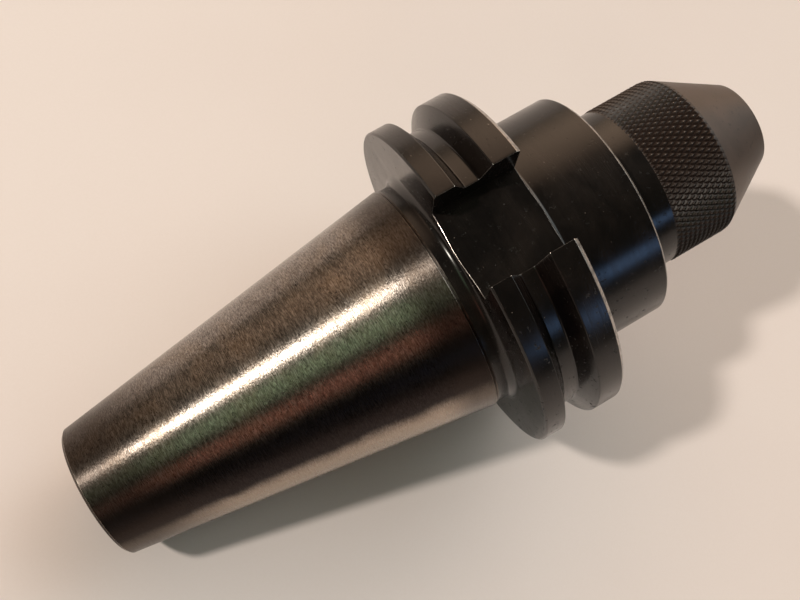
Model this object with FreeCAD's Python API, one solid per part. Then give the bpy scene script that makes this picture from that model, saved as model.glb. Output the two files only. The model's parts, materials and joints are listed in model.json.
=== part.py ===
import FreeCAD, Part
import math
import os

from FreeCAD import Vector

# A side-lock endmill holder with a steep taper shank, turned and milled from one bar of steel, and the
# socket set screw that holds the cutter. All sizes are in mm.
# The holder is two solids that meet face to face at the gage plane, in the relief behind the flange: the
# shank, which a spindle's socket slides over, and everything ahead of it.
# Each piece is modelled along the tool's own axis: z is 0 at the gage plane and grows towards the nose, and
# +x is the side that the set screw and the shallow drive slot are on. At the end all pieces are laid down
# together, as the holder rests on a table: on the two edges of the lower drive slot and the taper's rim.

# Taper shank
GAGE_DIAMETER = 44.45
TAPER_RATIO = 7 / 24
TAPER_LENGTH = 68.25
TAPER_GROUND_END = -0.6
SMALL_END_CHAMFER = 0.5
RELIEF_DEPTH = 0.3

# Flange, with its groove for the tool changer
FLANGE_DIAMETER = 63.5
FLANGE_BACK = 3.175
FLANGE_WIDTH = 15.875
FLANGE_BACK_CHAMFER = 0.3
FLANGE_FRONT_CHAMFER = 1.05
FLANGE_FILLET = 1.5
GROOVE_CENTRE = 7.25
GROOVE_WIDTH = 6.9
GROOVE_DEPTH = 3.62
GROOVE_ANGLE = 60
GROOVE_FILLET = 0.5

# Drive slots, one on each side, with floors at different distances from the axis
SLOT_WIDTH = 16.38
DEEP_SLOT_FLOOR = 22.6
SHALLOW_SLOT_FLOOR = 25.0

# Collar, neck, knurled band and nose
COLLAR_DIAMETER = 44.45
COLLAR_LENGTH = 15.85
COLLAR_CHAMFER = 1.2
NECK_DIAMETER = 31.75
NECK_FILLET = 1.0
KNURL_DIAMETER = 32.1
KNURL_START = 6.9
KNURL_TEETH = 84
KNURL_HELIX_ANGLE = 30
KNURL_DEPTH = 0.45
KNURL_OVERCUT = 0.3
KNURL_ALLOWANCE = 0.15
NOSE_LENGTH = 66.55
NOSE_DIAMETER = 17.26
NOSE_CONE_ANGLE = 30

# Bore for the cutter, and the holes behind it
CUTTER_DIAMETER = 12.7
BORE_DEPTH = 50.8
BORE_MOUTH_CHAMFER = 0.5
THROUGH_HOLE_DIAMETER = 8.0
DRILL_POINT_ANGLE = 118
STUD_THREAD_DIAMETER = 13.5
STUD_THREAD_DEPTH = 38.0
STUD_PILOT_DIAMETER = 16.6
STUD_PILOT_DEPTH = 7.9
STUD_PILOT_CHAMFER = 0.5

# Side-lock screw
SCREW_DIAMETER = 11.1
SCREW_LENGTH = 9.5
SCREW_BEHIND_NOSE = 22.5
SCREW_CLEARANCE = 0.05
SCREW_CHAMFER = 0.8
SCREW_POINT_CHAMFER = 1.6
SCREW_TO_BORE = 0.15
SCREW_HOLE_CHAMFER = 0.6
SOCKET_WIDTH = 5.56
SOCKET_DEPTH = 5.0

# How far a cut reaches past the surface that it goes through, and how near two mesh points are one
CUT_MARGIN = 1.0
POINT_TOLERANCE = 1e-4

AXIS = Vector(0, 0, 1)
ORIGIN = Vector(0, 0, 0)


def sharp(radius, z):
    """A plain corner of a turned outline."""
    return Vector(radius, 0, z), 0, False


def broken(radius, z, chamfer):
    """A corner with an equal-legged chamfer."""
    return Vector(radius, 0, z), chamfer, False


def rounded(radius, z, fillet):
    """A corner with a tangent arc."""
    return Vector(radius, 0, z), fillet, True


def corner_edges(before, corner, after, size, is_round):
    """The start and end of a treated corner, and the edge between them, or None for a sharp one."""
    if not size:
        return corner, corner, None
    back = (before - corner).normalize()
    ahead = (after - corner).normalize()
    half_angle = back.getAngle(ahead) / 2
    leg = size / math.tan(half_angle) if is_round else size
    start = corner + back * leg
    end = corner + ahead * leg
    if not is_round:
        return start, end, Part.makeLine(start, end)
    inward = (back + ahead).normalize()
    middle = corner + inward * (size / math.sin(half_angle) - size)
    return start, end, Part.Arc(start, middle, end).toShape()


def turned(outline):
    """The solid swept by a closed outline of treated corners round the tool's axis."""
    corners = []
    for i, (corner, size, is_round) in enumerate(outline):
        before = outline[i - 1][0]
        after = outline[(i + 1) % len(outline)][0]
        corners.append(corner_edges(before, corner, after, size, is_round))
    edges = []
    for (_, end, edge), (start, _, _) in zip(corners, corners[1:] + corners[:1]):
        if edge:
            edges.append(edge)
        edges.append(Part.makeLine(end, start))
    return Part.Face(Part.Wire(edges)).revolve(ORIGIN, AXIS, 360)


def taper_radius(z):
    """The radius of the steep taper at a height on the axis."""
    return (GAGE_DIAMETER + z * TAPER_RATIO) / 2


def cone_z(radius):
    """The height on the axis at which the nose cone has this radius."""
    return NOSE_LENGTH - (radius - NOSE_DIAMETER / 2) / math.tan(math.radians(NOSE_CONE_ANGLE))


def relief_radius():
    """The radius of the relief between the ground taper and the flange."""
    return taper_radius(TAPER_GROUND_END) - RELIEF_DEPTH


def drill_point(diameter):
    """How far a drill's point reaches beyond its full diameter, down to the through hole."""
    step = (diameter - THROUGH_HOLE_DIAMETER) / 2
    return step / math.tan(math.radians(DRILL_POINT_ANGLE / 2))


def shank_outline():
    """The outside of the taper, from its small end to the gage plane, and the stud's hole back down."""
    small_end = -TAPER_LENGTH
    thread_end = small_end + STUD_THREAD_DEPTH
    pilot_end = small_end + STUD_PILOT_DEPTH
    through_radius = THROUGH_HOLE_DIAMETER / 2
    thread_radius = STUD_THREAD_DIAMETER / 2
    pilot_radius = STUD_PILOT_DIAMETER / 2
    return [
        broken(taper_radius(small_end), small_end, SMALL_END_CHAMFER),
        sharp(taper_radius(TAPER_GROUND_END), TAPER_GROUND_END),
        sharp(relief_radius(), TAPER_GROUND_END + RELIEF_DEPTH),
        sharp(relief_radius(), 0),
        sharp(through_radius, 0),
        sharp(through_radius, thread_end + drill_point(STUD_THREAD_DIAMETER)),
        sharp(thread_radius, thread_end),
        sharp(thread_radius, pilot_end),
        sharp(pilot_radius, pilot_end),
        broken(pilot_radius, small_end, STUD_PILOT_CHAMFER),
    ]


def flange_outline():
    """The relief ahead of the gage plane, and the flange's rim with the groove between its two ribs."""
    radius = FLANGE_DIAMETER / 2
    front = FLANGE_BACK + FLANGE_WIDTH
    centre = FLANGE_BACK + GROOVE_CENTRE
    half_top = GROOVE_WIDTH / 2
    half_bottom = half_top - GROOVE_DEPTH * math.tan(math.radians(GROOVE_ANGLE / 2))
    return [
        sharp(relief_radius(), 0),
        rounded(relief_radius(), FLANGE_BACK, FLANGE_FILLET),
        broken(radius, FLANGE_BACK, FLANGE_BACK_CHAMFER),
        sharp(radius, centre - half_top),
        rounded(radius - GROOVE_DEPTH, centre - half_bottom, GROOVE_FILLET),
        rounded(radius - GROOVE_DEPTH, centre + half_bottom, GROOVE_FILLET),
        sharp(radius, centre + half_top),
        broken(radius, front, FLANGE_FRONT_CHAMFER),
    ]


def nose_outline():
    """The collar, neck, knurled band and cone, from the flange's front face to the nose face."""
    front = FLANGE_BACK + FLANGE_WIDTH
    collar_front = front + COLLAR_LENGTH
    knurl_start = collar_front + KNURL_START
    blank_radius = KNURL_DIAMETER / 2 + KNURL_ALLOWANCE
    return [
        rounded(COLLAR_DIAMETER / 2, front, FLANGE_FILLET),
        broken(COLLAR_DIAMETER / 2, collar_front, COLLAR_CHAMFER),
        rounded(NECK_DIAMETER / 2, collar_front, NECK_FILLET),
        sharp(NECK_DIAMETER / 2, knurl_start),
        sharp(blank_radius, knurl_start),
        sharp(blank_radius, cone_z(blank_radius)),
        sharp(NOSE_DIAMETER / 2, NOSE_LENGTH),
    ]


def bore_outline():
    """The cutter's bore and the through hole behind it, from the nose face to the gage plane."""
    cutter_radius = CUTTER_DIAMETER / 2
    through_radius = THROUGH_HOLE_DIAMETER / 2
    bore_end = NOSE_LENGTH - BORE_DEPTH
    return [
        broken(cutter_radius, NOSE_LENGTH, BORE_MOUTH_CHAMFER),
        sharp(cutter_radius, bore_end),
        sharp(through_radius, bore_end - drill_point(CUTTER_DIAMETER)),
        sharp(through_radius, 0),
    ]


def drive_slot(floor, side):
    """The cut for one drive slot: right across the flange, down to its flat floor."""
    height = FLANGE_DIAMETER / 2 - floor + CUT_MARGIN
    length = FLANGE_WIDTH + 2 * FLANGE_FILLET
    start = FLANGE_BACK - FLANGE_FILLET
    low_x = floor if side > 0 else -floor - height
    return Part.makeBox(height, SLOT_WIDTH, length, Vector(low_x, -SLOT_WIDTH / 2, start))


def knurl_cutter():
    """What knurling takes off the blank: a ring whose inside is rows of pointed diamonds, in staggered rows."""
    peak = KNURL_DIAMETER / 2
    valley = peak - KNURL_DEPTH
    outside = peak + 2 * KNURL_ALLOWANCE
    columns = 2 * KNURL_TEETH
    row_height = math.pi * peak / KNURL_TEETH / math.tan(math.radians(KNURL_HELIX_ANGLE))
    start = FLANGE_BACK + FLANGE_WIDTH + COLLAR_LENGTH + KNURL_START - KNURL_OVERCUT
    rows = math.ceil((cone_z(valley) + KNURL_OVERCUT - start) / row_height)

    def point(column, row, radius=None):
        if radius is None:
            radius = peak if (column + row) % 2 else valley
        turn = math.pi * column / KNURL_TEETH
        return Vector(radius * math.cos(turn), radius * math.sin(turn), start + row * row_height)

    points = [point(column, row) for row in range(rows + 1) for column in range(columns)]
    points += [point(column, row, outside) for row in (rows, 0) for column in range(columns)]
    facets = []
    for row in range(rows + 3):
        for column in range(columns):
            ahead = (column + 1) % columns
            near = row * columns + column
            near_ahead = row * columns + ahead
            next_row = (row + 1) % (rows + 3) * columns
            far = next_row + column
            far_ahead = next_row + ahead
            if (column + row) % 2:
                facets += [(near, far, near_ahead), (near_ahead, far, far_ahead)]
            else:
                facets += [(near, far, far_ahead), (near, far_ahead, near_ahead)]
    shell = Part.Shape()
    shell.makeShapeFromMesh((points, facets), POINT_TOLERANCE)
    return Part.makeSolid(shell)


def radial(radius, low_x, high_x, end_radius=None):
    """A cylinder, or a cone, that stands out from the axis at the side-lock screw's place."""
    base = Vector(low_x, 0, NOSE_LENGTH - SCREW_BEHIND_NOSE)
    if end_radius is None:
        return Part.makeCylinder(radius, high_x - low_x, base, Vector(1, 0, 0))
    return Part.makeCone(radius, end_radius, high_x - low_x, base, Vector(1, 0, 0))


def screw_hole():
    """The hole for the side-lock screw, from the bore out, with a countersunk mouth."""
    radius = SCREW_DIAMETER / 2 + SCREW_CLEARANCE
    surface = KNURL_DIAMETER / 2
    sink = SCREW_HOLE_CHAMFER + CUT_MARGIN
    hole = radial(radius, 0, surface + CUT_MARGIN)
    mouth = radial(radius, surface - SCREW_HOLE_CHAMFER, surface + CUT_MARGIN, radius + sink)
    return hole.fuse(mouth)


def taper_shank():
    """The shank behind the gage plane, with the hole for the retention knob's stud."""
    return turned(shank_outline())


def flange_and_nose():
    """The holder ahead of the gage plane, with its slots, its knurled band and the screw's hole."""
    body = turned(flange_outline() + nose_outline() + bore_outline())
    body = body.cut(drive_slot(DEEP_SLOT_FLOOR, -1))
    body = body.cut(drive_slot(SHALLOW_SLOT_FLOOR, 1))
    body = body.cut(knurl_cutter())
    return body.cut(screw_hole()).removeSplitter().Solids[0]


def side_lock_screw():
    """The socket set screw, backed out until its flat point is clear of the bore."""
    radius = SCREW_DIAMETER / 2
    tip = CUTTER_DIAMETER / 2 + SCREW_TO_BORE
    top = tip + SCREW_LENGTH
    shank = radial(radius, tip + SCREW_POINT_CHAMFER, top - SCREW_CHAMFER)
    point = radial(radius - SCREW_POINT_CHAMFER, tip, tip + SCREW_POINT_CHAMFER, radius)
    rim = radial(radius, top - SCREW_CHAMFER, top, radius - SCREW_CHAMFER)
    return shank.fuse([point, rim]).cut(hex_socket(top)).removeSplitter().Solids[0]


def hex_socket(top):
    """The hexagonal hole for the key in the screw's outer end."""
    reach = SOCKET_WIDTH / 2 / math.cos(math.radians(30))
    screw_z = NOSE_LENGTH - SCREW_BEHIND_NOSE
    points = []
    for i in range(7):
        turn = math.radians(60 * i)
        points.append(Vector(top, reach * math.cos(turn), screw_z + reach * math.sin(turn)))
    return Part.Face(Part.makePolygon(points)).extrude(Vector(-SOCKET_DEPTH, 0, 0))


def rest_tilt():
    """The angle between the axis and the table, in degrees, with the holder on its flange and small end."""
    rim_z = -TAPER_LENGTH + SMALL_END_CHAMFER
    flange_z = FLANGE_BACK + FLANGE_BACK_CHAMFER
    edge_x = math.sqrt((FLANGE_DIAMETER / 2) ** 2 - (SLOT_WIDTH / 2) ** 2)
    return math.degrees(math.atan2(edge_x - taper_radius(rim_z), flange_z - rim_z))


def laid_down(shape):
    """The piece as it lies: the nose along +X and raised, the side-lock screw underneath."""
    return shape.rotate(ORIGIN, Vector(0, 1, 0), 90 - rest_tilt())


os.makedirs("parts", exist_ok=True)
for make in (taper_shank, flange_and_nose, side_lock_screw):
    name = make.__name__
    piece = laid_down(make())
    piece.exportStep(f"parts/{name}.step")
    box = piece.BoundBox
    print(name, "valid", piece.isValid(), "solids", len(piece.Solids), "volume", round(piece.Volume, 1))
    print("  x %.2f %.2f  y %.2f %.2f  z %.2f %.2f" % (
        box.XMin, box.XMax, box.YMin, box.YMax, box.ZMin, box.ZMax))
    print("  centre", [round(c, 3) for c in piece.CenterOfMass], "tilt", round(rest_tilt(), 3))
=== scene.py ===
"""Looks of the endmill holder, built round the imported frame: fine meshes, finishes, floor, light and camera.

The meshes are worked out in mm along the tool's own axis: z is 0 at the gage plane and grows towards the
nose, and +x is the side of the set screw and the shallow drive slot. placed() lays them down as the part
lies.
"""
import json
import math

import bmesh
import bpy
import numpy as np
from mathutils import Matrix, Vector


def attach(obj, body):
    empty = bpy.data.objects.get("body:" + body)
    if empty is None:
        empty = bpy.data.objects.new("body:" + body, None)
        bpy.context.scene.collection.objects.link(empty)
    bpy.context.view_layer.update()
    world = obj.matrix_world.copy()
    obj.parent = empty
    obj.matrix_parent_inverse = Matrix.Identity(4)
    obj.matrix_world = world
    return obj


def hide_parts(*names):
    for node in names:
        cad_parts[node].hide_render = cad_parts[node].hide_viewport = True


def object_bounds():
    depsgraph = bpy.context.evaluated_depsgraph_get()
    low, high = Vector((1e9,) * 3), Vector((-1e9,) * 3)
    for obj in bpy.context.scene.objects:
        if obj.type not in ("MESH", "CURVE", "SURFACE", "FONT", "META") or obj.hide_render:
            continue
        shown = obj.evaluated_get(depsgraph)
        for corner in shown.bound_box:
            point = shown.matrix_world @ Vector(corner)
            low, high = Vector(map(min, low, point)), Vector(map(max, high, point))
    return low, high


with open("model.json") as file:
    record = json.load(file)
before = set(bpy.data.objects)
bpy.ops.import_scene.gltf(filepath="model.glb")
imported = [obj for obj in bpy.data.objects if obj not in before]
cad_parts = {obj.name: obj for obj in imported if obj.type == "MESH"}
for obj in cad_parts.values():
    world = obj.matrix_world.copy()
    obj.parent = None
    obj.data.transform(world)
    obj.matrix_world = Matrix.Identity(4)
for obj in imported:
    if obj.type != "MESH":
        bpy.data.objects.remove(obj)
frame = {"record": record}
cad_low, cad_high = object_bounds()
mounts = {mount["name"]: mount for mount in frame["record"]["mounts"]}
NOSE_WAY = Vector(mounts["cutter_bore"]["axis"]).normalized()
SCREW_WAY = Vector(mounts["shallow_drive_slot"]["axis"]).normalized()
ACROSS = NOSE_WAY.cross(SCREW_WAY)
MM = 0.001

# Sizes in mm, as in the CAD
TAPER = 7 / 48
GAGE_RADIUS = 22.225
SMALL_END = -68.25
SMALL_RADIUS = GAGE_RADIUS + SMALL_END * TAPER
RELIEF_RADIUS = 21.8375
RIM = 31.75
FLANGE_BACK = 3.175
FLANGE_FRONT = 19.05
GROOVE_BACK, GROOVE_FRONT = 6.975, 13.875
GROOVE_RADIUS = 28.13
GROOVE_RUN = (RIM - GROOVE_RADIUS) * math.tan(math.radians(30))
COLLAR_RADIUS = 22.225
COLLAR_FRONT = 34.9
NECK_RADIUS = 15.875
NOSE_END, NOSE_RADIUS = 66.55, 8.63
CONE_SLOPE = math.tan(math.radians(30))
SLOT_HALF = 8.19
DEEP_FLOOR, SHALLOW_FLOOR = 22.6, 25.0
KNURL_START, KNURL_PEAK, KNURL_DEPTH, TEETH = 41.5, 16.05, 0.45, 84
KNURL_PITCH = 2 * math.pi * KNURL_PEAK / TEETH / math.tan(math.radians(30))
BORE, THROUGH = 6.35, 4.0
BORE_END = 15.75
THREAD_CREST, THREAD_ROOT, THREAD_PITCH = 6.75, 7.9, 25.4 / 11
THREAD_START, THREAD_END = -60.35, -30.25
PILOT = 8.3
DRILL_POINT = math.tan(math.radians(59))
SCREW_Z, SCREW_TIP, SCREW_TOP, SCREW_RADIUS = 44.05, 6.5, 16.0, 5.55
SCREW_PITCH, SCREW_THREAD_DEPTH = 1.27, 0.68
HEX_FLATS, HEX_DEPTH = 5.56, 4.4
SCREW_HOLE = 5.6
SMALL_CHAMFER, BACK_CHAMFER, BORE_CHAMFER = 0.5, 0.3, 0.5
BACK_FILLET, GROOVE_FILLET, NECK_FILLET = 1.5, 0.5, 1.0

# Sizes in mm that are narrower here than in the CAD, as the photograph shows them
RIM_CHAMFER, FRONT_FILLET = 0.75, 0.7
COLLAR_CHAMFER = 0.45

# How round the edges are that the CAD leaves sharp, in mm
CHAMFER_EDGE, GROOVE_EDGE, END_EDGE, GAGE_EDGE = 0.15, 0.22, 0.12, 0.1

# How the meshes are divided: columns in half a turn outside, in a whole turn inside and round the knurled
# band, rows in one diamond's length, rings across a slot's end, and rows in one turn of a thread
HALF = 168
INNER = 84
KNURL_COLUMNS = 672
KNURL_ROWS = 8
SLOT_RINGS = 6
THREAD_ROWS = 8

# The rounding of a drive slot's edges, and a quarter circle's middle as shares of its ends and its corner
LIP = 0.15
OF_ENDS, OF_CORNER = 0.293, 0.414

# How near a corner of the outline a ring is left out, in mm
TOO_NEAR = 0.004

# How worn an edge is just before its corner, at it and just after it
NEW, FAINT, RUBBED, BRIGHT = (0, 0, 0), (0, 0.45, 0), (0, 0.62, 0), (0, 1, 0)

# How worn a drive slot's edge is: where its wall crosses a worn corner or plain steel, and along its floor
WALL_CORNER, WALL_EDGE = 1.7, 0.6
FLOOR_BACK_EDGE, FLOOR_FRONT_EDGE = 1.25, 0.72

# The finishes' numbers on the body's meshes
GROUND, BLACK, KNURL, CONE, BORED = range(5)

# The camera: its place in metres, the direction behind it, the azimuth of its level line and its turn off
# that line in degrees, and its lens and sensor in mm
CAMERA_PLACE = (-0.06955, -0.03024, 0.16063)
CAMERA_BACK = (-0.36109, -0.18667, 0.91366)
CAMERA_AZIMUTH, CAMERA_ROLL = -62.662, 33.576
LENS, SENSOR = 43.731, 36

# The lamp: the way to it, its distance and width in metres, its power and its colour
KEY_WAY = (-0.610, 0.288, 0.738)
KEY_DISTANCE, KEY_SIZE, KEY_WATTS = 1.6, 0.12, 14.2
KEY_COLOR = (1.0, 0.92, 0.81)

# The room: a dim base, and patches of (azimuth, elevation, degrees to where it has faded, degrees to where
# it is full, colour)
ROOM_BASE = (0.085, 0.08, 0.06)
ROOM = (
    (45, 22, 42, 8, (2.1, 1.5, 1.05)),
    (15, 42, 34, 6, (1.4, 1.5, 1.5)),
    (-5, 34, 36, 8, (0.75, 0.85, 0.85)),
    (82, 34, 30, 6, (1.0, 0.66, 0.45)),
    (-75, 22, 8, 2, (1.1, 1.9, 3.4)),
    (-168, 60, 15, 5, (0.66, 0.98, 0.58)),
    (-128, 40, 14, 4, (0.75, 0.25, 0.17)),
)


class Skin:
    """The vertices, faces, edge wear and finishes of one piece."""

    def __init__(self):
        self.points, self.wear, self.faces, self.finish = [], [], [], []

    def add(self, points, wear=0.0):
        """Adds points, and returns their numbers."""
        first = len(self.points)
        self.points += [tuple(p) for p in points]
        self.wear += list(wear) if hasattr(wear, "__len__") else [wear] * len(points)
        return list(range(first, len(self.points)))

    def face(self, corners, finish):
        self.faces.append(tuple(corners))
        self.finish.append(finish)

    def strip(self, a, b, finish, closed=False):
        """Quads between two rows with as many points."""
        last = len(a) if closed else len(a) - 1
        for i in range(last):
            j = (i + 1) % len(a)
            self.face((a[i], a[j], b[j], b[i]), finish)

    def thin_out(self, many, few, finish):
        """Faces between two closed rows, where one has a whole number of times the other's points."""
        share = len(many) // len(few)
        for i in range(len(few)):
            j = (i + 1) % len(few)
            run = [many[(i * share + k) % len(many)] for k in range(share + 1)]
            self.face(run + [few[j], few[i]], finish)

    def mesh(self, name):
        """The mesh in metres as the part lies, closed and with its faces outwards."""
        mesh = bpy.data.meshes.new(name)
        mesh.from_pydata([placed(p) for p in self.points], [], self.faces)
        mesh.polygons.foreach_set("material_index", self.finish)
        wear = mesh.attributes.new("wear", "FLOAT", "POINT")
        wear.data.foreach_set("value", np.array(self.wear, np.float32))
        work = bmesh.new()
        work.from_mesh(mesh)
        bmesh.ops.remove_doubles(work, verts=work.verts, dist=2e-6)
        bmesh.ops.dissolve_degenerate(work, edges=work.edges, dist=1e-6)
        bmesh.ops.recalc_face_normals(work, faces=work.faces)
        open_edges = sum(1 for e in work.edges if len(e.link_faces) != 2)
        print(name, "faces", len(work.faces), "edges without two faces", open_edges)
        work.to_mesh(mesh)
        work.free()
        return mesh


def placed(p):
    """A point along the tool's axis, in mm, as it lies in the row frame, in metres."""
    return (SCREW_WAY * p[0] + ACROSS * p[1] + NOSE_WAY * p[2]) * MM


def turn(radius, z, columns):
    """The points of a full circle, from the top slot's middle round by +y."""
    angles = np.arange(columns) * (2 * math.pi / columns)
    radii = np.broadcast_to(radius, angles.shape)
    heights = np.broadcast_to(z, angles.shape)
    return list(zip(-radii * np.cos(angles), radii * np.sin(angles), heights))


def outline(corners):
    """Points along a turned outline as (z, radius, normal's z, normal's radius, wear). Each corner is (z,
    radius, rounding, steps, wear), where wear is given just before the corner, at it and just after it."""
    made = []
    for i, (z, r, size, steps, wear) in enumerate(corners):
        here = np.array([z, r], float)
        if not size:
            ahead = np.array(corners[min(i + 1, len(corners) - 1)][:2], float)
            behind = np.array(corners[max(i - 1, 0)][:2], float)
            way = (ahead - behind) / np.linalg.norm(ahead - behind)
            made.append((z, r, -way[1], way[0], wear[1]))
            continue
        back = np.array(corners[i - 1][:2], float) - here
        ahead = np.array(corners[i + 1][:2], float) - here
        back /= np.linalg.norm(back)
        ahead /= np.linalg.norm(ahead)
        half = math.acos(np.clip(back @ ahead, -1, 1)) / 2
        centre = here + (back + ahead) / np.linalg.norm(back + ahead) * size / math.sin(half)
        start = here + back * size / math.tan(half) - centre
        end = here + ahead * size / math.tan(half) - centre
        spread = math.acos(np.clip(start @ end / size ** 2, -1, 1))
        hollow = start @ np.array([back[1], -back[0]]) < 0
        for k in range(steps + 1):
            t = k / steps
            spoke = (start * math.sin((1 - t) * spread) + end * math.sin(t * spread)) / math.sin(spread)
            point = centre + spoke
            normal = spoke / size * (-1 if hollow else 1)
            edge = np.interp(t, (0, 0.5, 1), wear)
            made.append((point[0], point[1], normal[0], normal[1], edge))
    return made


def with_rings_at(profile, radii):
    """The outline with a point added wherever it passes one of these radii."""
    made = [profile[0]]
    for a, b in zip(profile, profile[1:]):
        inside = [r for r in radii if min(a[1], b[1]) + TOO_NEAR < r < max(a[1], b[1]) - TOO_NEAR]
        for r in sorted(inside, reverse=b[1] < a[1]):
            t = (r - a[1]) / (b[1] - a[1])
            made.append(tuple(x + (y - x) * t for x, y in zip(a, b)))
        made.append(b)
    return made


def lip(ring, floor):
    """Where a drive slot's rounded edge crosses one ring: its outer, middle and inner points, as (x, y, z)
    with x the way from the axis to the slot, whether the ring is cut, and whether the slot's wall cuts it."""
    z, r, nz, nr, _ = ring
    low, wide = floor - LIP, SLOT_HALF + LIP
    if r < low - 1e-6:
        return [(r, 0, z)] * 3, False, False
    reach = math.sqrt(max(r * r - low * low, 0))
    depth = z - LIP * nz
    if reach < wide - 1e-6:
        outer = (low, reach, z)
        inner = (floor, reach * SLOT_HALF / wide, depth)
        corner = (floor, (outer[1] + inner[1]) / 2, z)
        at_wall = False
    else:
        under = r - LIP * nr
        outer = (math.sqrt(r * r - wide * wide), wide, z)
        inner = (max(floor, math.sqrt(under * under - SLOT_HALF ** 2)), SLOT_HALF, depth)
        corner = (math.sqrt(r * r - SLOT_HALF ** 2), SLOT_HALF, z)
        at_wall = True
    middle = tuple(OF_ENDS * (a + b) + OF_CORNER * c for a, b, c in zip(outer, inner, corner))
    return [outer, middle, inner], True, at_wall


def flange_rings(skin, profile):
    """Skins the flange and what is next to it, with both drive slots. Returns the first and last ring."""
    halves = []
    for side in (1, -1):
        rows, lips = [], []
        for ring in profile:
            deep, shallow = lip(ring, DEEP_FLOOR), lip(ring, SHALLOW_FLOOR)
            start = math.atan2(deep[0][0][1], deep[0][0][0])
            end = math.pi - math.atan2(shallow[0][0][1], shallow[0][0][0])
            angles = start + (end - start) * np.arange(HALF + 1) / HALF
            points = [(-ring[1] * math.cos(a), side * ring[1] * math.sin(a), ring[0]) for a in angles]
            wear = [ring[4]] * len(points)
            rows.append(skin.add(points, wear))
            painted_end_shade = []
            for way, (edge_points, cut, at_wall), corner in (
                    (-1, deep, rows[-1][0]), (1, shallow, rows[-1][-1])):
                middle, inner = ((way * p[0], side * p[1], p[2]) for p in edge_points[1:])
                edge = ring[4]
                if at_wall:
                    edge = WALL_CORNER if ring[4] > 0.3 else WALL_EDGE
                elif cut:
                    edge = FLOOR_BACK_EDGE if ring[0] < FLANGE_FRONT / 2 else FLOOR_FRONT_EDGE
                added = skin.add([middle, inner], [edge, 0 if cut else edge])
                painted_end_shade.append(([corner] + added, cut, at_wall))
            lips.append(painted_end_shade)
        for a, b in zip(rows, rows[1:]):
            skin.strip(a, b, BLACK)
        for which in (0, 1):
            for a, b in zip(lips, lips[1:]):
                if a[which][1] and b[which][1]:
                    skin.strip(a[which][0], b[which][0], BLACK)
        halves.append((rows, lips))
    for which in (0, 1):
        floor = []
        for side in (0, 1):
            lips = [x[which] for x in halves[side][1]]
            walls = [i for i, x in enumerate(lips) if x[2]]
            skin.face([lips[i][0][2] for i in range(walls[0], walls[-1] + 1)], BLACK)
            behind = [lips[i][0][2] for i, x in enumerate(lips) if x[1] and i <= walls[0]]
            ahead = [lips[i][0][2] for i, x in enumerate(lips) if x[1] and i >= walls[-1]]
            floor += behind + ahead if side == 0 else (behind + ahead)[::-1]
        skin.face(floor, BLACK)
    return [whole(halves, k) for k in (0, -1)]


def whole(halves, k):
    """One closed row of an uncut ring's points from its two halves."""
    return halves[0][0][k][:-1] + halves[1][0][k][:0:-1]


def knurl_radius(angle, z):
    """The knurled band's radius, how near it is to a diamond's top, and which way the nearest groove runs."""
    round_way = TEETH * angle / (2 * math.pi)
    grooves = []
    for lead in (z / KNURL_PITCH, -z / KNURL_PITCH):
        place = round_way + lead
        grooves.append(1 - 2 * np.abs(place - np.round(place)))
    cut = np.maximum(*grooves)
    depth = KNURL_DEPTH * np.clip((cut - 0.2) / 0.8, 0, 1)
    return KNURL_PEAK - depth, np.clip(1 - 2.5 * cut, 0, 1), grooves[0] > grooves[1]


def knurled_band(skin, neck_row):
    """The knurled band from the neck to the cone. Returns its last row, at the plain columns' number."""
    columns = KNURL_COLUMNS
    angles = np.arange(columns) * (2 * math.pi / columns)
    step = KNURL_PITCH / KNURL_ROWS
    first = math.ceil((KNURL_START + 0.4) / step)
    last = math.ceil((NOSE_END - (KNURL_PEAK - KNURL_DEPTH - NOSE_RADIUS) / CONE_SLOPE) / step)
    heights = [KNURL_START, KNURL_START + 0.1, KNURL_START + 0.26]
    heights += [k * step for k in range(first, last + 1)]
    rows = []
    for z in heights:
        radius, peak, _ = knurl_radius(angles, z)
        if z == KNURL_START:
            radius, peak = np.full(columns, NECK_RADIUS), np.zeros(columns)
        elif z < KNURL_START + 0.3:
            radius = np.minimum(radius, NECK_RADIUS)
        cone = NOSE_RADIUS + (NOSE_END - z) * CONE_SLOPE
        peak = np.where(radius > cone, 0.5 * (cone > KNURL_PEAK - KNURL_DEPTH), peak)
        radius = np.minimum(radius, cone)
        rows.append((skin.add(turn(radius, z, columns), peak), z))
    skin.thin_out(rows[0][0], neck_row, KNURL)
    for (a, za), (b, zb) in zip(rows, rows[1:]):
        middle = angles + math.pi / columns
        by_first = knurl_radius(middle, (za + zb) / 2)[2]
        for i in range(columns):
            j = (i + 1) % columns
            if by_first[i]:
                skin.face((a[i], a[j], b[i]), KNURL)
                skin.face((a[j], b[j], b[i]), KNURL)
            else:
                skin.face((a[i], a[j], b[j]), KNURL)
                skin.face((a[i], b[j], b[i]), KNURL)
    return rows[-1][0], rows[-1][1]


def turned_rows(skin, profile, columns, finish):
    """Plain turned rows along an outline. Returns the first and last."""
    rows = [skin.add(turn(r, z, columns), [wear] * columns) for z, r, _, _, wear in profile]
    for a, b in zip(rows, rows[1:]):
        skin.strip(a, b, finish, closed=True)
    return rows[0], rows[-1]


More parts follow.
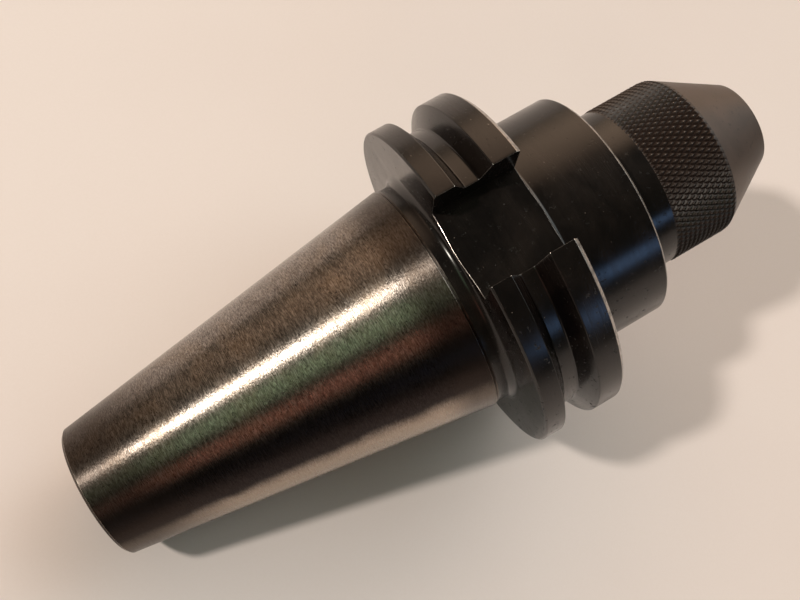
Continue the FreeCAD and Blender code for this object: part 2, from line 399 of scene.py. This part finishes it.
def head_skin():
    """Everything ahead of the gage plane: relief, flange, collar, neck, knurled band, cone and bore."""
    skin = Skin()
    flange = outline([
        (0, RELIEF_RADIUS, 0, 0, NEW),
        (FLANGE_BACK, RELIEF_RADIUS, BACK_FILLET, 12, NEW),
        (FLANGE_BACK, RIM - BACK_CHAMFER, CHAMFER_EDGE, 2, RUBBED),
        (FLANGE_BACK + BACK_CHAMFER, RIM, CHAMFER_EDGE, 2, RUBBED),
        (GROOVE_BACK, RIM, GROOVE_EDGE, 3, RUBBED),
        (GROOVE_BACK + GROOVE_RUN, GROOVE_RADIUS, GROOVE_FILLET, 5, NEW),
        (GROOVE_FRONT - GROOVE_RUN, GROOVE_RADIUS, GROOVE_FILLET, 5, NEW),
        (GROOVE_FRONT, RIM, GROOVE_EDGE, 3, FAINT),
        (FLANGE_FRONT - RIM_CHAMFER, RIM, CHAMFER_EDGE, 2, (0, 0.9, 0.72)),
        (FLANGE_FRONT, RIM - RIM_CHAMFER, CHAMFER_EDGE, 2, (0.72, 0.9, 0)),
        (FLANGE_FRONT, COLLAR_RADIUS, FRONT_FILLET, 8, NEW),
        (COLLAR_FRONT - COLLAR_CHAMFER, COLLAR_RADIUS, END_EDGE, 2, (0, 0.66, 0.66)),
        (COLLAR_FRONT, COLLAR_RADIUS - COLLAR_CHAMFER, END_EDGE, 2, (0.66, 0.66, 0)),
        (COLLAR_FRONT, NECK_RADIUS, NECK_FILLET, 8, NEW),
        (KNURL_START, NECK_RADIUS, 0, 0, NEW),
    ])
    radii = []
    for floor in (DEEP_FLOOR, SHALLOW_FLOOR):
        low = floor - LIP
        radii += [math.hypot(low, (SLOT_HALF + LIP) * k / SLOT_RINGS) for k in range(SLOT_RINGS + 1)]
    back, neck = flange_rings(skin, with_rings_at(flange, radii))
    knurl_end, z = knurled_band(skin, neck)
    cone = outline([
        (z + 0.4, NOSE_RADIUS + (NOSE_END - z - 0.4) * CONE_SLOPE, 0, 0, NEW),
        (NOSE_END - 6, NOSE_RADIUS + 6 * CONE_SLOPE, 0, 0, NEW),
        (NOSE_END, NOSE_RADIUS, END_EDGE, 2, RUBBED),
        (NOSE_END, BORE + 0.8, 0, 0, NEW),
    ])
    first, nose = turned_rows(skin, cone, 2 * HALF, CONE)
    skin.thin_out(knurl_end, first, CONE)
    bore = outline([
        (NOSE_END, BORE + BORE_CHAMFER, 0, 0, RUBBED),
        (NOSE_END - BORE_CHAMFER, BORE, 0, 0, FAINT),
        (NOSE_END - 8, BORE, 0, 0, NEW),
        (BORE_END, BORE, 0, 0, NEW),
        (BORE_END - (BORE - THROUGH) / DRILL_POINT, THROUGH, 0, 0, NEW),
        (0, THROUGH, 0, 0, NEW),
    ])
    mouth, joint = turned_rows(skin, bore, INNER, BORED)
    skin.thin_out(nose, mouth, CONE)
    skin.thin_out(back, joint, BLACK)
    return skin


def helix(skin, radius_at, pitch, start, end, columns, per_turn, finish, point):
    """A threaded wall between two heights, whose rows run along the thread. point() places its radius, angle
    and height."""
    count = int((end - start) / pitch * per_turn) + 1 + per_turn
    rows = []
    for k in range(-per_turn, count + 1):
        row = []
        for i in range(columns + 1):
            angle = 2 * math.pi * i / columns
            height = start + pitch * (k / per_turn + i / columns)
            height = min(max(height, start), end)
            row.append(point(radius_at(height, angle), angle, height))
        rows.append(skin.add(row))
    for a, b in zip(rows, rows[1:]):
        skin.strip(a, b, finish)


def thread_wave(height, angle, pitch):
    """0 at a thread's crest and 1 at its root, with flats at both."""
    place = (height / pitch - angle / (2 * math.pi)) % 1
    return min(max((1 - abs(2 * place - 1)) * 1.45 - 0.2, 0), 1)


def shank_skin():
    """The shank behind the gage plane: the ground taper, and the hole for the retention knob's stud."""
    skin = Skin()
    outside = outline([
        (SMALL_END, PILOT + 0.8, 0, 0, NEW),
        (SMALL_END, SMALL_RADIUS - SMALL_CHAMFER, END_EDGE, 2, BRIGHT),
        (SMALL_END + SMALL_CHAMFER, SMALL_RADIUS + SMALL_CHAMFER * TAPER, END_EDGE, 2, BRIGHT),
        (-45, GAGE_RADIUS - 45 * TAPER, 0, 0, NEW),
        (-20, GAGE_RADIUS - 20 * TAPER, 0, 0, NEW),
        (-0.6, GAGE_RADIUS - 0.6 * TAPER, GAGE_EDGE, 2, BRIGHT),
        (-0.3, RELIEF_RADIUS, 0, 0, NEW),
        (0, RELIEF_RADIUS, 0, 0, NEW),
    ])
    face, joint = turned_rows(skin, outside, 2 * HALF, GROUND)
    pilot = outline([
        (SMALL_END, PILOT + SMALL_CHAMFER, 0, 0, FAINT),
        (SMALL_END + SMALL_CHAMFER, PILOT, 0, 0, NEW),
        (THREAD_START - 0.3, PILOT, 0, 0, NEW),
        (THREAD_START, PILOT - 0.3, 0, 0, NEW),
    ])
    mouth, shoulder = turned_rows(skin, pilot, INNER, BORED)
    skin.thin_out(face, mouth, GROUND)

    def radius_at(height, angle):
        fade = min(max((THREAD_END - height) / THREAD_PITCH, 0), 1)
        cut = fade * thread_wave(height, angle, THREAD_PITCH)
        return THREAD_CREST + (THREAD_ROOT - THREAD_CREST) * cut

    def point(radius, angle, height):
        return -radius * math.cos(angle), radius * math.sin(angle), height

    helix(skin, radius_at, THREAD_PITCH, THREAD_START, THREAD_END, INNER, THREAD_ROWS, BORED, point)
    angles = [2 * math.pi * i / INNER for i in range(INNER)]
    start = skin.add([point(radius_at(THREAD_START, a), a, THREAD_START) for a in angles])
    skin.strip(shoulder, start, BORED, closed=True)
    inside = outline([
        (THREAD_END, THREAD_CREST, 0, 0, NEW),
        (THREAD_END + (THREAD_CREST - THROUGH) / DRILL_POINT, THROUGH, 0, 0, NEW),
        (0, THROUGH, 0, 0, NEW),
    ])
    _, inner_joint = turned_rows(skin, inside, INNER, BORED)
    skin.thin_out(joint, inner_joint, GROUND)
    return skin


def screw_skin():
    """The socket set screw: flat point, thread, chamfered end and hexagonal socket."""
    skin = Skin()
    columns = 72

    def point(radius, angle, height):
        return height, radius * math.cos(angle), SCREW_Z + radius * math.sin(angle)

    def radius_at(height, angle):
        thread = SCREW_RADIUS - SCREW_THREAD_DEPTH * thread_wave(height, angle, SCREW_PITCH)
        point_end = SCREW_RADIUS - 1.6 + (height - SCREW_TIP)
        socket_end = SCREW_RADIUS - 0.8 + (SCREW_TOP - height)
        return min(thread, point_end, socket_end)

    def row(radius, height):
        radii = radius if hasattr(radius, "__len__") else [radius] * columns
        return skin.add([point(r, 2 * math.pi * i / columns, height) for i, r in enumerate(radii)])

    helix(skin, radius_at, SCREW_PITCH, SCREW_TIP, SCREW_TOP, columns, THREAD_ROWS, 0, point)
    tip = row([radius_at(SCREW_TIP, 2 * math.pi * i / columns) for i in range(columns)], SCREW_TIP)
    inner_tip = row(2.2, SCREW_TIP)
    cup = row(1.9, SCREW_TIP + 0.15)
    centre = skin.add([point(0, 0, SCREW_TIP + 0.15)])[0]
    skin.strip(tip, inner_tip, 0, closed=True)
    skin.strip(inner_tip, cup, 0, closed=True)
    for i in range(columns):
        skin.face((cup[i], cup[(i + 1) % columns], centre), 0)
    top = row([radius_at(SCREW_TOP, 2 * math.pi * i / columns) for i in range(columns)], SCREW_TOP)
    flat = HEX_FLATS / 2
    hexagon = [
        flat / math.cos((2 * math.pi * i / columns) % (math.pi / 3) - math.pi / 6) for i in range(columns)]
    mouth = row(flat / math.cos(math.pi / 6) + 0.12, SCREW_TOP)
    rim = row([r + 0.02 for r in hexagon], SCREW_TOP - 0.2)
    bottom = row(hexagon, SCREW_TOP - HEX_DEPTH)
    drilled = row([r * 0.94 for r in hexagon], SCREW_TOP - HEX_DEPTH - 0.05)
    end = skin.add([point(0, 0, SCREW_TOP - HEX_DEPTH - 0.6)])[0]
    for a, b in ((top, mouth), (mouth, rim), (rim, bottom), (bottom, drilled)):
        skin.strip(a, b, 0, closed=True)
    for i in range(columns):
        skin.face((drilled[i], drilled[(i + 1) % columns], end), 0)
    return skin


def cutter_for_screw():
    """The screw's hole with its countersunk mouth, as a closed mesh to cut with."""
    skin = Skin()
    columns = 96
    rows = []
    for radius, x in ((SCREW_HOLE, 2.0), (SCREW_HOLE, 15.45), (6.2, 16.05), (8.2, 18.05)):
        circle = [(x, radius * math.cos(a), SCREW_Z + radius * math.sin(a))
                  for a in (2 * math.pi * i / columns for i in range(columns))]
        rows.append(skin.add(circle))
    for a, b in zip(rows, rows[1:]):
        skin.strip(a, b, 0, closed=True)
    skin.face(rows[0], 0)
    skin.face(rows[-1], 0)
    return skin


def piece(name, mesh, materials, body, slot, *nodes):
    """An object that rides on a body and stands for CAD nodes."""
    made = bpy.data.objects.new(name, mesh)
    bpy.context.scene.collection.objects.link(made)
    for material in materials:
        mesh.materials.append(material)
    mesh.shade_smooth()
    mesh.set_sharp_from_angle(angle=math.radians(40))
    weighted = made.modifiers.new("weighted", "WEIGHTED_NORMAL")
    weighted.keep_sharp = True
    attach(made, body)
    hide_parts(*nodes)
    return made


def cut_away(mesh, cutter_mesh):
    """The mesh with the cutter's volume taken out of it."""
    body = bpy.data.objects.new("to_cut", mesh)
    cutter = bpy.data.objects.new("cutter", cutter_mesh)
    for made in (body, cutter):
        bpy.context.scene.collection.objects.link(made)
    cut = body.modifiers.new("cut", "BOOLEAN")
    cut.operation, cut.solver, cut.object = "DIFFERENCE", "EXACT", cutter
    bpy.context.view_layer.update()
    graph = bpy.context.evaluated_depsgraph_get()
    result = bpy.data.meshes.new_from_object(body.evaluated_get(graph))
    for made in (body, cutter):
        bpy.data.objects.remove(made)
    return result


class Graph:
    """Builds a node tree: add() makes a node and gives its first output, or its out'th."""

    def __init__(self, tree):
        self.tree = tree
        self.place = None

    def add(self, kind, inputs=None, out=0, **settings):
        node = self.tree.nodes.new(kind)
        for name, value in settings.items():
            setattr(node, name, value)
        for key, value in (inputs or {}).items():
            socket = node.inputs[key]
            if isinstance(value, bpy.types.NodeSocket):
                self.tree.links.new(value, socket)
            else:
                socket.default_value = value
        return node.outputs[out]

    def math(self, operation, a, b=0.0, c=0.0, clamp=False):
        return self.add("ShaderNodeMath", {0: a, 1: b, 2: c}, operation=operation, use_clamp=clamp)

    def dot(self, vector, way):
        return self.add(
            "ShaderNodeVectorMath", {0: vector, 1: tuple(way)}, out="Value", operation="DOT_PRODUCT")

    def ramp(self, value, low, high, to_low=0.0, to_high=1.0):
        """A soft step from to_low to to_high as the value goes from low to high."""
        inputs = {"Value": value, "From Min": low, "From Max": high, "To Min": to_low, "To Max": to_high}
        return self.add("ShaderNodeMapRange", inputs, interpolation_type="SMOOTHSTEP")

    def mix(self, share, a, b):
        """A colour between a and b."""
        mixed = self.tree.nodes.new("ShaderNodeMix")
        mixed.data_type = "RGBA"
        for socket, value in ((mixed.inputs[0], share), (mixed.inputs[6], a), (mixed.inputs[7], b)):
            if isinstance(value, bpy.types.NodeSocket):
                self.tree.links.new(value, socket)
            else:
                socket.default_value = (*value, 1) if isinstance(value, tuple) else value
        return mixed.outputs[2]

    def axes(self):
        """Where a point is along the screw's way, across, and along the axis, in mm."""
        if self.place is None:
            here = self.add("ShaderNodeTexCoord", out="Object")
            ways = (SCREW_WAY, ACROSS, NOSE_WAY)
            self.place = [self.math("MULTIPLY", self.dot(here, way), 1 / MM) for way in ways]
        return self.place

    def noise(self, around, along, detail=2.0, rough=0.5, seed=0.0, flow=0.0, slant=0.0):
        """Noise from 0 to 1 whose features are around mm wide across the axis and along mm wide along it, or
        turned by slant radians from those ways."""
        x, y, z = self.axes()
        if slant:
            turn_y = self.math("MULTIPLY", y, math.cos(slant))
            turn_z = self.math("MULTIPLY", y, math.sin(slant))
            y = self.math("MULTIPLY_ADD", z, -math.sin(slant), turn_y)
            z = self.math("MULTIPLY_ADD", z, math.cos(slant), turn_z)
        where = self.add("ShaderNodeCombineXYZ", {
            0: self.math("MULTIPLY", x, 1 / around),
            1: self.math("MULTIPLY", y, 1 / around),
            2: self.math("MULTIPLY_ADD", z, 1 / along, seed)})
        return self.add("ShaderNodeTexNoise", {
            "Vector": where, "Scale": 1.0, "Detail": detail, "Roughness": rough, "Distortion": flow})

    def around_way(self):
        """The direction round the axis, for brushed steel."""
        here = self.add("ShaderNodeTexCoord", out="Object")
        across = self.add("ShaderNodeVectorMath", {0: tuple(NOSE_WAY), 1: here}, operation="CROSS_PRODUCT")
        turned = self.add(
            "ShaderNodeVectorTransform", {0: across}, vector_type="VECTOR", convert_from="OBJECT",
            convert_to="WORLD")
        return self.add("ShaderNodeVectorMath", {0: turned}, operation="NORMALIZE")

    def bump(self, height, distance, strength=1.0, below=None):
        inputs = {"Height": height, "Distance": distance, "Strength": strength}
        if below is not None:
            inputs["Normal"] = below
        return self.add("ShaderNodeBump", inputs)


def steel(name, **fixed):
    """A new material with a Principled shader. Returns it, its graph, and feed() to set or link a socket."""
    material = bpy.data.materials.new(name)
    material.use_nodes = True
    shader = material.node_tree.nodes["Principled BSDF"]
    for socket, value in fixed.items():
        shader.inputs[socket.replace("_", " ")].default_value = value
    graph = Graph(material.node_tree)

    def feed(socket, value):
        if isinstance(value, bpy.types.NodeSocket):
            material.node_tree.links.new(value, shader.inputs[socket])
        else:
            shader.inputs[socket].default_value = value
    return material, graph, feed


def worn(graph, low=0.35, high=0.8):
    """How far an edge is worn bright, from 0 to 1, broken up along its length."""
    edge = graph.add("ShaderNodeAttribute", out="Fac", attribute_name="wear")
    broken = graph.noise(1.1, 1.1, detail=3.0, rough=0.6, seed=7.0)
    patchy = graph.math("MULTIPLY", edge, graph.ramp(broken, 0.28, 0.6, 0.68, 1.0))
    return graph.ramp(patchy, low, high)


def make_ground_steel():
    """The taper: dark ground steel with fine strokes round it, brown and gold stains, small scratches and
    pits, painted shade in a band along the -y side with a painted reflection of the floor at its edge, and
    painted shade at both ends where the highlight fades, which are also a little rougher."""
    material, g, feed = steel("ground_steel", Metallic=1.0, Anisotropic=0.82, Anisotropic_Rotation=0.25)
    strokes = g.noise(1.9, 0.15, detail=3.0, rough=0.7)
    lines = g.noise(24.0, 0.16, detail=3.0, rough=0.65, seed=3.0)
    grain = g.noise(0.5, 0.2, detail=2.0, rough=0.6, seed=41.0)
    stain = g.noise(11.0, 8.0, detail=4.0, rough=0.62, seed=11.0, flow=0.6)
    smudge = g.noise(3.6, 1.6, detail=4.0, rough=0.7, seed=21.0)
    scratch = g.noise(7.0, 0.08, detail=1.0, rough=0.5, seed=51.0, slant=0.7)
    hair = g.noise(0.9, 0.13, detail=1.0, rough=0.5, seed=81.0)
    pore = g.noise(0.3, 0.3, detail=1.0, rough=0.5, seed=71.0)
    _, y, z = g.axes()
    tone = g.mix(g.ramp(stain, 0.38, 0.66), (0.18, 0.158, 0.142), (0.205, 0.162, 0.124))
    tone = g.mix(g.ramp(smudge, 0.5, 0.75, 0.0, 0.4), tone, (0.09, 0.066, 0.052))
    tone = g.mix(g.ramp(strokes, 0.4, 0.66, 0.0, 0.55), tone, (0.36, 0.32, 0.29))
    tone = g.mix(g.ramp(hair, 0.5, 0.68, 0.0, 0.6), tone, (0.46, 0.41, 0.37))
    tone = g.mix(g.ramp(hair, 0.48, 0.34, 0.0, 0.55), tone, (0.07, 0.055, 0.048))
    tone = g.mix(g.ramp(lines, 0.6, 0.8, 0.0, 0.4), tone, (0.06, 0.046, 0.04))
    tone = g.mix(g.ramp(pore, 0.62, 0.70, 0.0, 0.85), tone, (0.03, 0.025, 0.022))
    tone = g.mix(g.ramp(scratch, 0.74, 0.78, 0.0, 0.4), tone, (0.5, 0.46, 0.42))
    girth = g.math("MULTIPLY_ADD", z, TAPER, GAGE_RADIUS)
    side = g.math("ADD", g.math("DIVIDE", y, girth), g.math("MULTIPLY_ADD", stain, 0.08, -0.04))
    # painted shade: a dark band on the side towards -y, standing in for the dark reflection there
    painted_shade_band = g.math("MULTIPLY", g.ramp(side, -0.36, -0.58, 0.0, 0.94), g.ramp(side, -0.83, -0.93, 1.0, 0.1))
    tone = g.mix(painted_shade_band, tone, (0.014, 0.010, 0.011))
    # painted reflection: a pale band at the very edge of that side, for the floor seen at a grazing angle
    tone = g.mix(g.ramp(side, -0.84, -0.95, 0.0, 0.75), tone, (0.52, 0.41, 0.32))
    # painted shade: both ends darkened so that the highlight fades towards them
    painted_end_shade = g.math("ADD", g.ramp(z, -44, -64, 0.0, 0.78), g.ramp(z, -11, -4, 0.0, 0.74))
    tone = g.mix(painted_end_shade, tone, (0.034, 0.025, 0.021))
    feed("Base Color", g.mix(worn(g), tone, (0.62, 0.55, 0.48)))
    dull = g.math("ADD", g.ramp(z, -52, -67, 0.0, 0.1), g.ramp(z, -9, -2, 0.0, 0.08))
    shine = g.math("ADD", g.ramp(strokes, 0.35, 0.7, 0.24, 0.34), g.ramp(stain, 0.4, 0.7, 0.0, 0.05))
    feed("Roughness", g.math("ADD", shine, dull))
    fine = g.bump(g.math("ADD", strokes, g.math("MULTIPLY", lines, 0.5)), 0.000008, 0.7)
    feed("Normal", g.bump(grain, 0.00003, 0.8, below=fine))
    feed("Tangent", g.around_way())
    return material


def make_black_oxide():
    """Turned steel with black oxide: near black, with a soft shine, faint turning lines, small pits on the
    low side, and worn edges, whose nicked corners are brightest."""
    material, g, feed = steel("black_oxide", IOR=1.43)
    lines = g.noise(30.0, 0.16, detail=3.0, rough=0.6)
    cloud = g.noise(9.0, 7.0, detail=4.0, rough=0.6, seed=5.0, flow=0.4)
    speck = g.noise(0.55, 0.55, detail=2.0, rough=0.5, seed=31.0)
    pit = g.noise(1.0, 1.0, detail=3.0, rough=0.6, seed=61.0)
    y = g.axes()[1]
    tone = g.mix(g.ramp(cloud, 0.35, 0.7), (0.003, 0.002, 0.002), (0.009, 0.006, 0.005))
    tone = g.mix(g.ramp(speck, 0.755, 0.78, 0.0, 0.8), tone, (0.20, 0.16, 0.14))
    edge = worn(g)
    nick = g.ramp(g.add("ShaderNodeAttribute", out="Fac", attribute_name="wear"), 1.2, 1.6)
    bare = g.mix(nick, (0.40, 0.36, 0.33), (0.95, 0.88, 0.80))
    feed("Base Color", g.mix(edge, tone, bare))
    feed("Metallic", g.math("MULTIPLY", edge, 0.9))
    gloss = g.math("ADD", g.ramp(cloud, 0.3, 0.7, 0.16, 0.23), g.ramp(lines, 0.3, 0.7, 0.0, 0.06))
    pitted = g.math("MULTIPLY", g.ramp(pit, 0.645, 0.68), g.ramp(y, -14, -18, 0.15, 1.0))
    feed("Roughness", g.math("MULTIPLY_ADD", pitted, 0.35, gloss))
    dent = g.bump(g.math("MULTIPLY", pitted, -1.0), 0.00006, 1.0)
    feed("Normal", g.bump(lines, 0.000006, 0.5, below=dent))
    return material


def make_knurled_oxide():
    """The knurled band: dark, oily black oxide whose diamonds are rubbed bright at their very tops."""
    material, g, feed = steel("knurled_oxide", IOR=1.31)
    rub = g.noise(1.3, 1.3, detail=2.0, rough=0.6, seed=9.0)
    zone = g.noise(7.0, 7.0, detail=2.0, rough=0.5, seed=19.0)
    peak = g.add("ShaderNodeAttribute", out="Fac", attribute_name="wear")
    shine = g.math("MULTIPLY", g.ramp(peak, 0.6, 0.95), g.ramp(rub, 0.38, 0.6, 0.1, 1.0))
    shine = g.math("MULTIPLY", shine, g.ramp(zone, 0.35, 0.65, 0.25, 1.0))
    feed("Base Color", g.mix(shine, (0.025, 0.016, 0.013), (0.54, 0.45, 0.40)))
    feed("Metallic", g.math("MULTIPLY", shine, 0.85))
    feed("Roughness", g.ramp(rub, 0.3, 0.7, 0.34, 0.46))
    return material


def make_matte_cone():
    """The nose's cone: blackened, matt and a little browner, with faint stains, and a painted reflection that
    makes it paler on one side.
    """
    material, g, feed = steel("matte_cone", IOR=1.3)
    cloud = g.noise(6.0, 5.0, detail=4.0, rough=0.6, seed=13.0)
    grain = g.noise(0.35, 0.35, detail=2.0, rough=0.6, seed=2.0)
    y = g.axes()[1]
    spot = g.noise(1.1, 1.1, detail=3.0, rough=0.6, seed=23.0)
    tone = g.mix(g.ramp(cloud, 0.35, 0.7), (0.046, 0.029, 0.022), (0.066, 0.044, 0.035))
    # painted reflection: paler towards the -y side, for the floor seen there at a grazing angle
    tone = g.mix(g.ramp(y, -7, -13), tone, (0.15, 0.11, 0.09))
    tone = g.mix(g.ramp(spot, 0.62, 0.7, 0.0, 0.6), tone, (0.018, 0.012, 0.010))
    edge = worn(g, 0.4, 1.0)
    feed("Base Color", g.mix(g.math("MULTIPLY", edge, 0.5), tone, (0.30, 0.25, 0.22)))
    feed("Roughness", g.ramp(cloud, 0.3, 0.7, 0.36, 0.45))
    feed("Normal", g.bump(grain, 0.00001, 0.5))
    return material


def make_bored_steel():
    """The bores and threads: bare machined steel, a little darkened."""
    material, g, feed = steel("bored_steel", Metallic=1.0)
    lines = g.noise(20.0, 0.12, detail=3.0, rough=0.6, seed=4.0)
    cloud = g.noise(5.0, 5.0, detail=3.0, rough=0.6, seed=6.0)
    tone = g.mix(g.ramp(cloud, 0.35, 0.7), (0.30, 0.28, 0.26), (0.20, 0.17, 0.15))
    feed("Base Color", g.mix(g.ramp(lines, 0.4, 0.8, 0.0, 0.4), tone, (0.45, 0.43, 0.41)))
    feed("Roughness", g.ramp(lines, 0.3, 0.7, 0.26, 0.38))
    feed("Normal", g.bump(lines, 0.00001, 0.5))
    return material


def make_screw_steel():
    """The set screw: black oxide alloy steel with rubbed thread crests."""
    material, g, feed = steel("screw_steel", IOR=1.5)
    cloud = g.noise(2.5, 2.5, detail=3.0, rough=0.6, seed=17.0)
    feed("Base Color", g.mix(g.ramp(cloud, 0.35, 0.7), (0.012, 0.010, 0.010), (0.030, 0.026, 0.024)))
    feed("Roughness", g.ramp(cloud, 0.3, 0.7, 0.3, 0.45))
    return material


def make_table():
    """The plain pale table, like matt card, with very faint mottling."""
    material, g, feed = steel("table", Roughness=0.75)
    cloud = g.noise(90.0, 90.0, detail=3.0, rough=0.5, seed=1.0)
    grain = g.noise(0.5, 0.5, detail=2.0, rough=0.5, seed=8.0)
    tone = g.mix(g.ramp(cloud, 0.3, 0.7), (0.765, 0.688, 0.675), (0.795, 0.722, 0.71))
    feed("Base Color", g.mix(g.ramp(grain, 0.3, 0.7, 0.0, 0.04), tone, (0.60, 0.50, 0.44)))
    return material


def floor_plane():
    """The plain pale table that the holder lies on."""
    z = cad_low.z
    size = 3.0
    mesh = bpy.data.meshes.new("floor")
    corners = [(-size, -size, z), (size, -size, z), (size, size, z), (-size, size, z)]
    mesh.from_pydata(corners, [], [(0, 1, 2, 3)])
    floor = bpy.data.objects.new("floor", mesh)
    bpy.context.scene.collection.objects.link(floor)
    mesh.materials.append(make_table())


def camera():
    """The camera at the photograph's place, lens and angle."""
    data = bpy.data.cameras.new("camera")
    made = bpy.data.objects.new("camera", data)
    bpy.context.scene.collection.objects.link(made)
    data.lens, data.sensor_width = LENS, SENSOR
    data.clip_start, data.clip_end = 0.01, 20
    back = Vector(CAMERA_BACK).normalized()
    azimuth, roll = math.radians(CAMERA_AZIMUTH), math.radians(CAMERA_ROLL)
    level = Vector((math.cos(azimuth), math.sin(azimuth), 0))
    upright = back.cross(level)
    right = level * math.cos(roll) + upright * math.sin(roll)
    up = upright * math.cos(roll) - level * math.sin(roll)
    rotation = Matrix((right, up, back)).transposed()
    made.matrix_world = Matrix.Translation(CAMERA_PLACE) @ rotation.to_4x4()
    bpy.context.scene.camera = made


def lamp(name, way, distance, size, watts, color):
    """A round area lamp in the direction way from the part, facing it."""
    data = bpy.data.lights.new(name, "AREA")
    data.shape, data.size = "DISK", size
    data.energy, data.color = watts, color
    made = bpy.data.objects.new(name, data)
    bpy.context.scene.collection.objects.link(made)
    way = Vector(way).normalized()
    made.location = way * distance
    made.rotation_mode = "QUATERNION"
    made.rotation_quaternion = way.to_track_quat("Z", "Y")


def aim(azimuth, elevation):
    """A direction by its angle round from +X and its height above the floor, in degrees."""
    a, e = math.radians(azimuth), math.radians(elevation)
    return Vector((math.cos(a) * math.cos(e), math.sin(a) * math.cos(e), math.sin(e)))


def room():
    """The soft light of a room: dim, with broad bright and coloured patches."""
    world = bpy.data.worlds.new("room")
    bpy.context.scene.world = world
    world.use_nodes = True
    g = Graph(world.node_tree)
    way = g.add("ShaderNodeTexCoord", out="Generated")
    total = None
    for azimuth, elevation, outer, inner, color in ROOM:
        near = g.dot(way, aim(azimuth, elevation))
        share = g.ramp(near, math.cos(math.radians(outer)), math.cos(math.radians(inner)))
        patch = g.mix(share, (0.0, 0.0, 0.0), color)
        total = patch if total is None else g.add(
            "ShaderNodeVectorMath", {0: total, 1: patch}, operation="ADD")
    base = g.add("ShaderNodeVectorMath", {0: total, 1: ROOM_BASE}, operation="ADD")
    back = world.node_tree.nodes["Background"]
    world.node_tree.links.new(base, back.inputs["Color"])
    back.inputs["Strength"].default_value = 1.0


finishes = (
    make_ground_steel(), make_black_oxide(), make_knurled_oxide(), make_matte_cone(), make_bored_steel())
screw_steel = make_screw_steel()

shank_mesh = shank_skin().mesh("taper_shank_fine")
piece("taper_shank_fine", shank_mesh, finishes, "holder", "ground_steel", "taper_shank")
head_mesh = cut_away(head_skin().mesh("head_uncut"), cutter_for_screw().mesh("screw_cutter"))
head_mesh.name = "flange_and_nose_fine"
piece("flange_and_nose_fine", head_mesh, finishes, "holder", "black_steel", "flange_and_nose")
screw_mesh = screw_skin().mesh("side_lock_screw_fine")
piece("side_lock_screw_fine", screw_mesh, (screw_steel,), "side_lock", "screw_steel", "side_lock_screw")

floor_plane()
camera()
lamp("key", KEY_WAY, KEY_DISTANCE, KEY_SIZE, KEY_WATTS, KEY_COLOR)
room()
bpy.context.scene.view_settings.view_transform = "Standard"
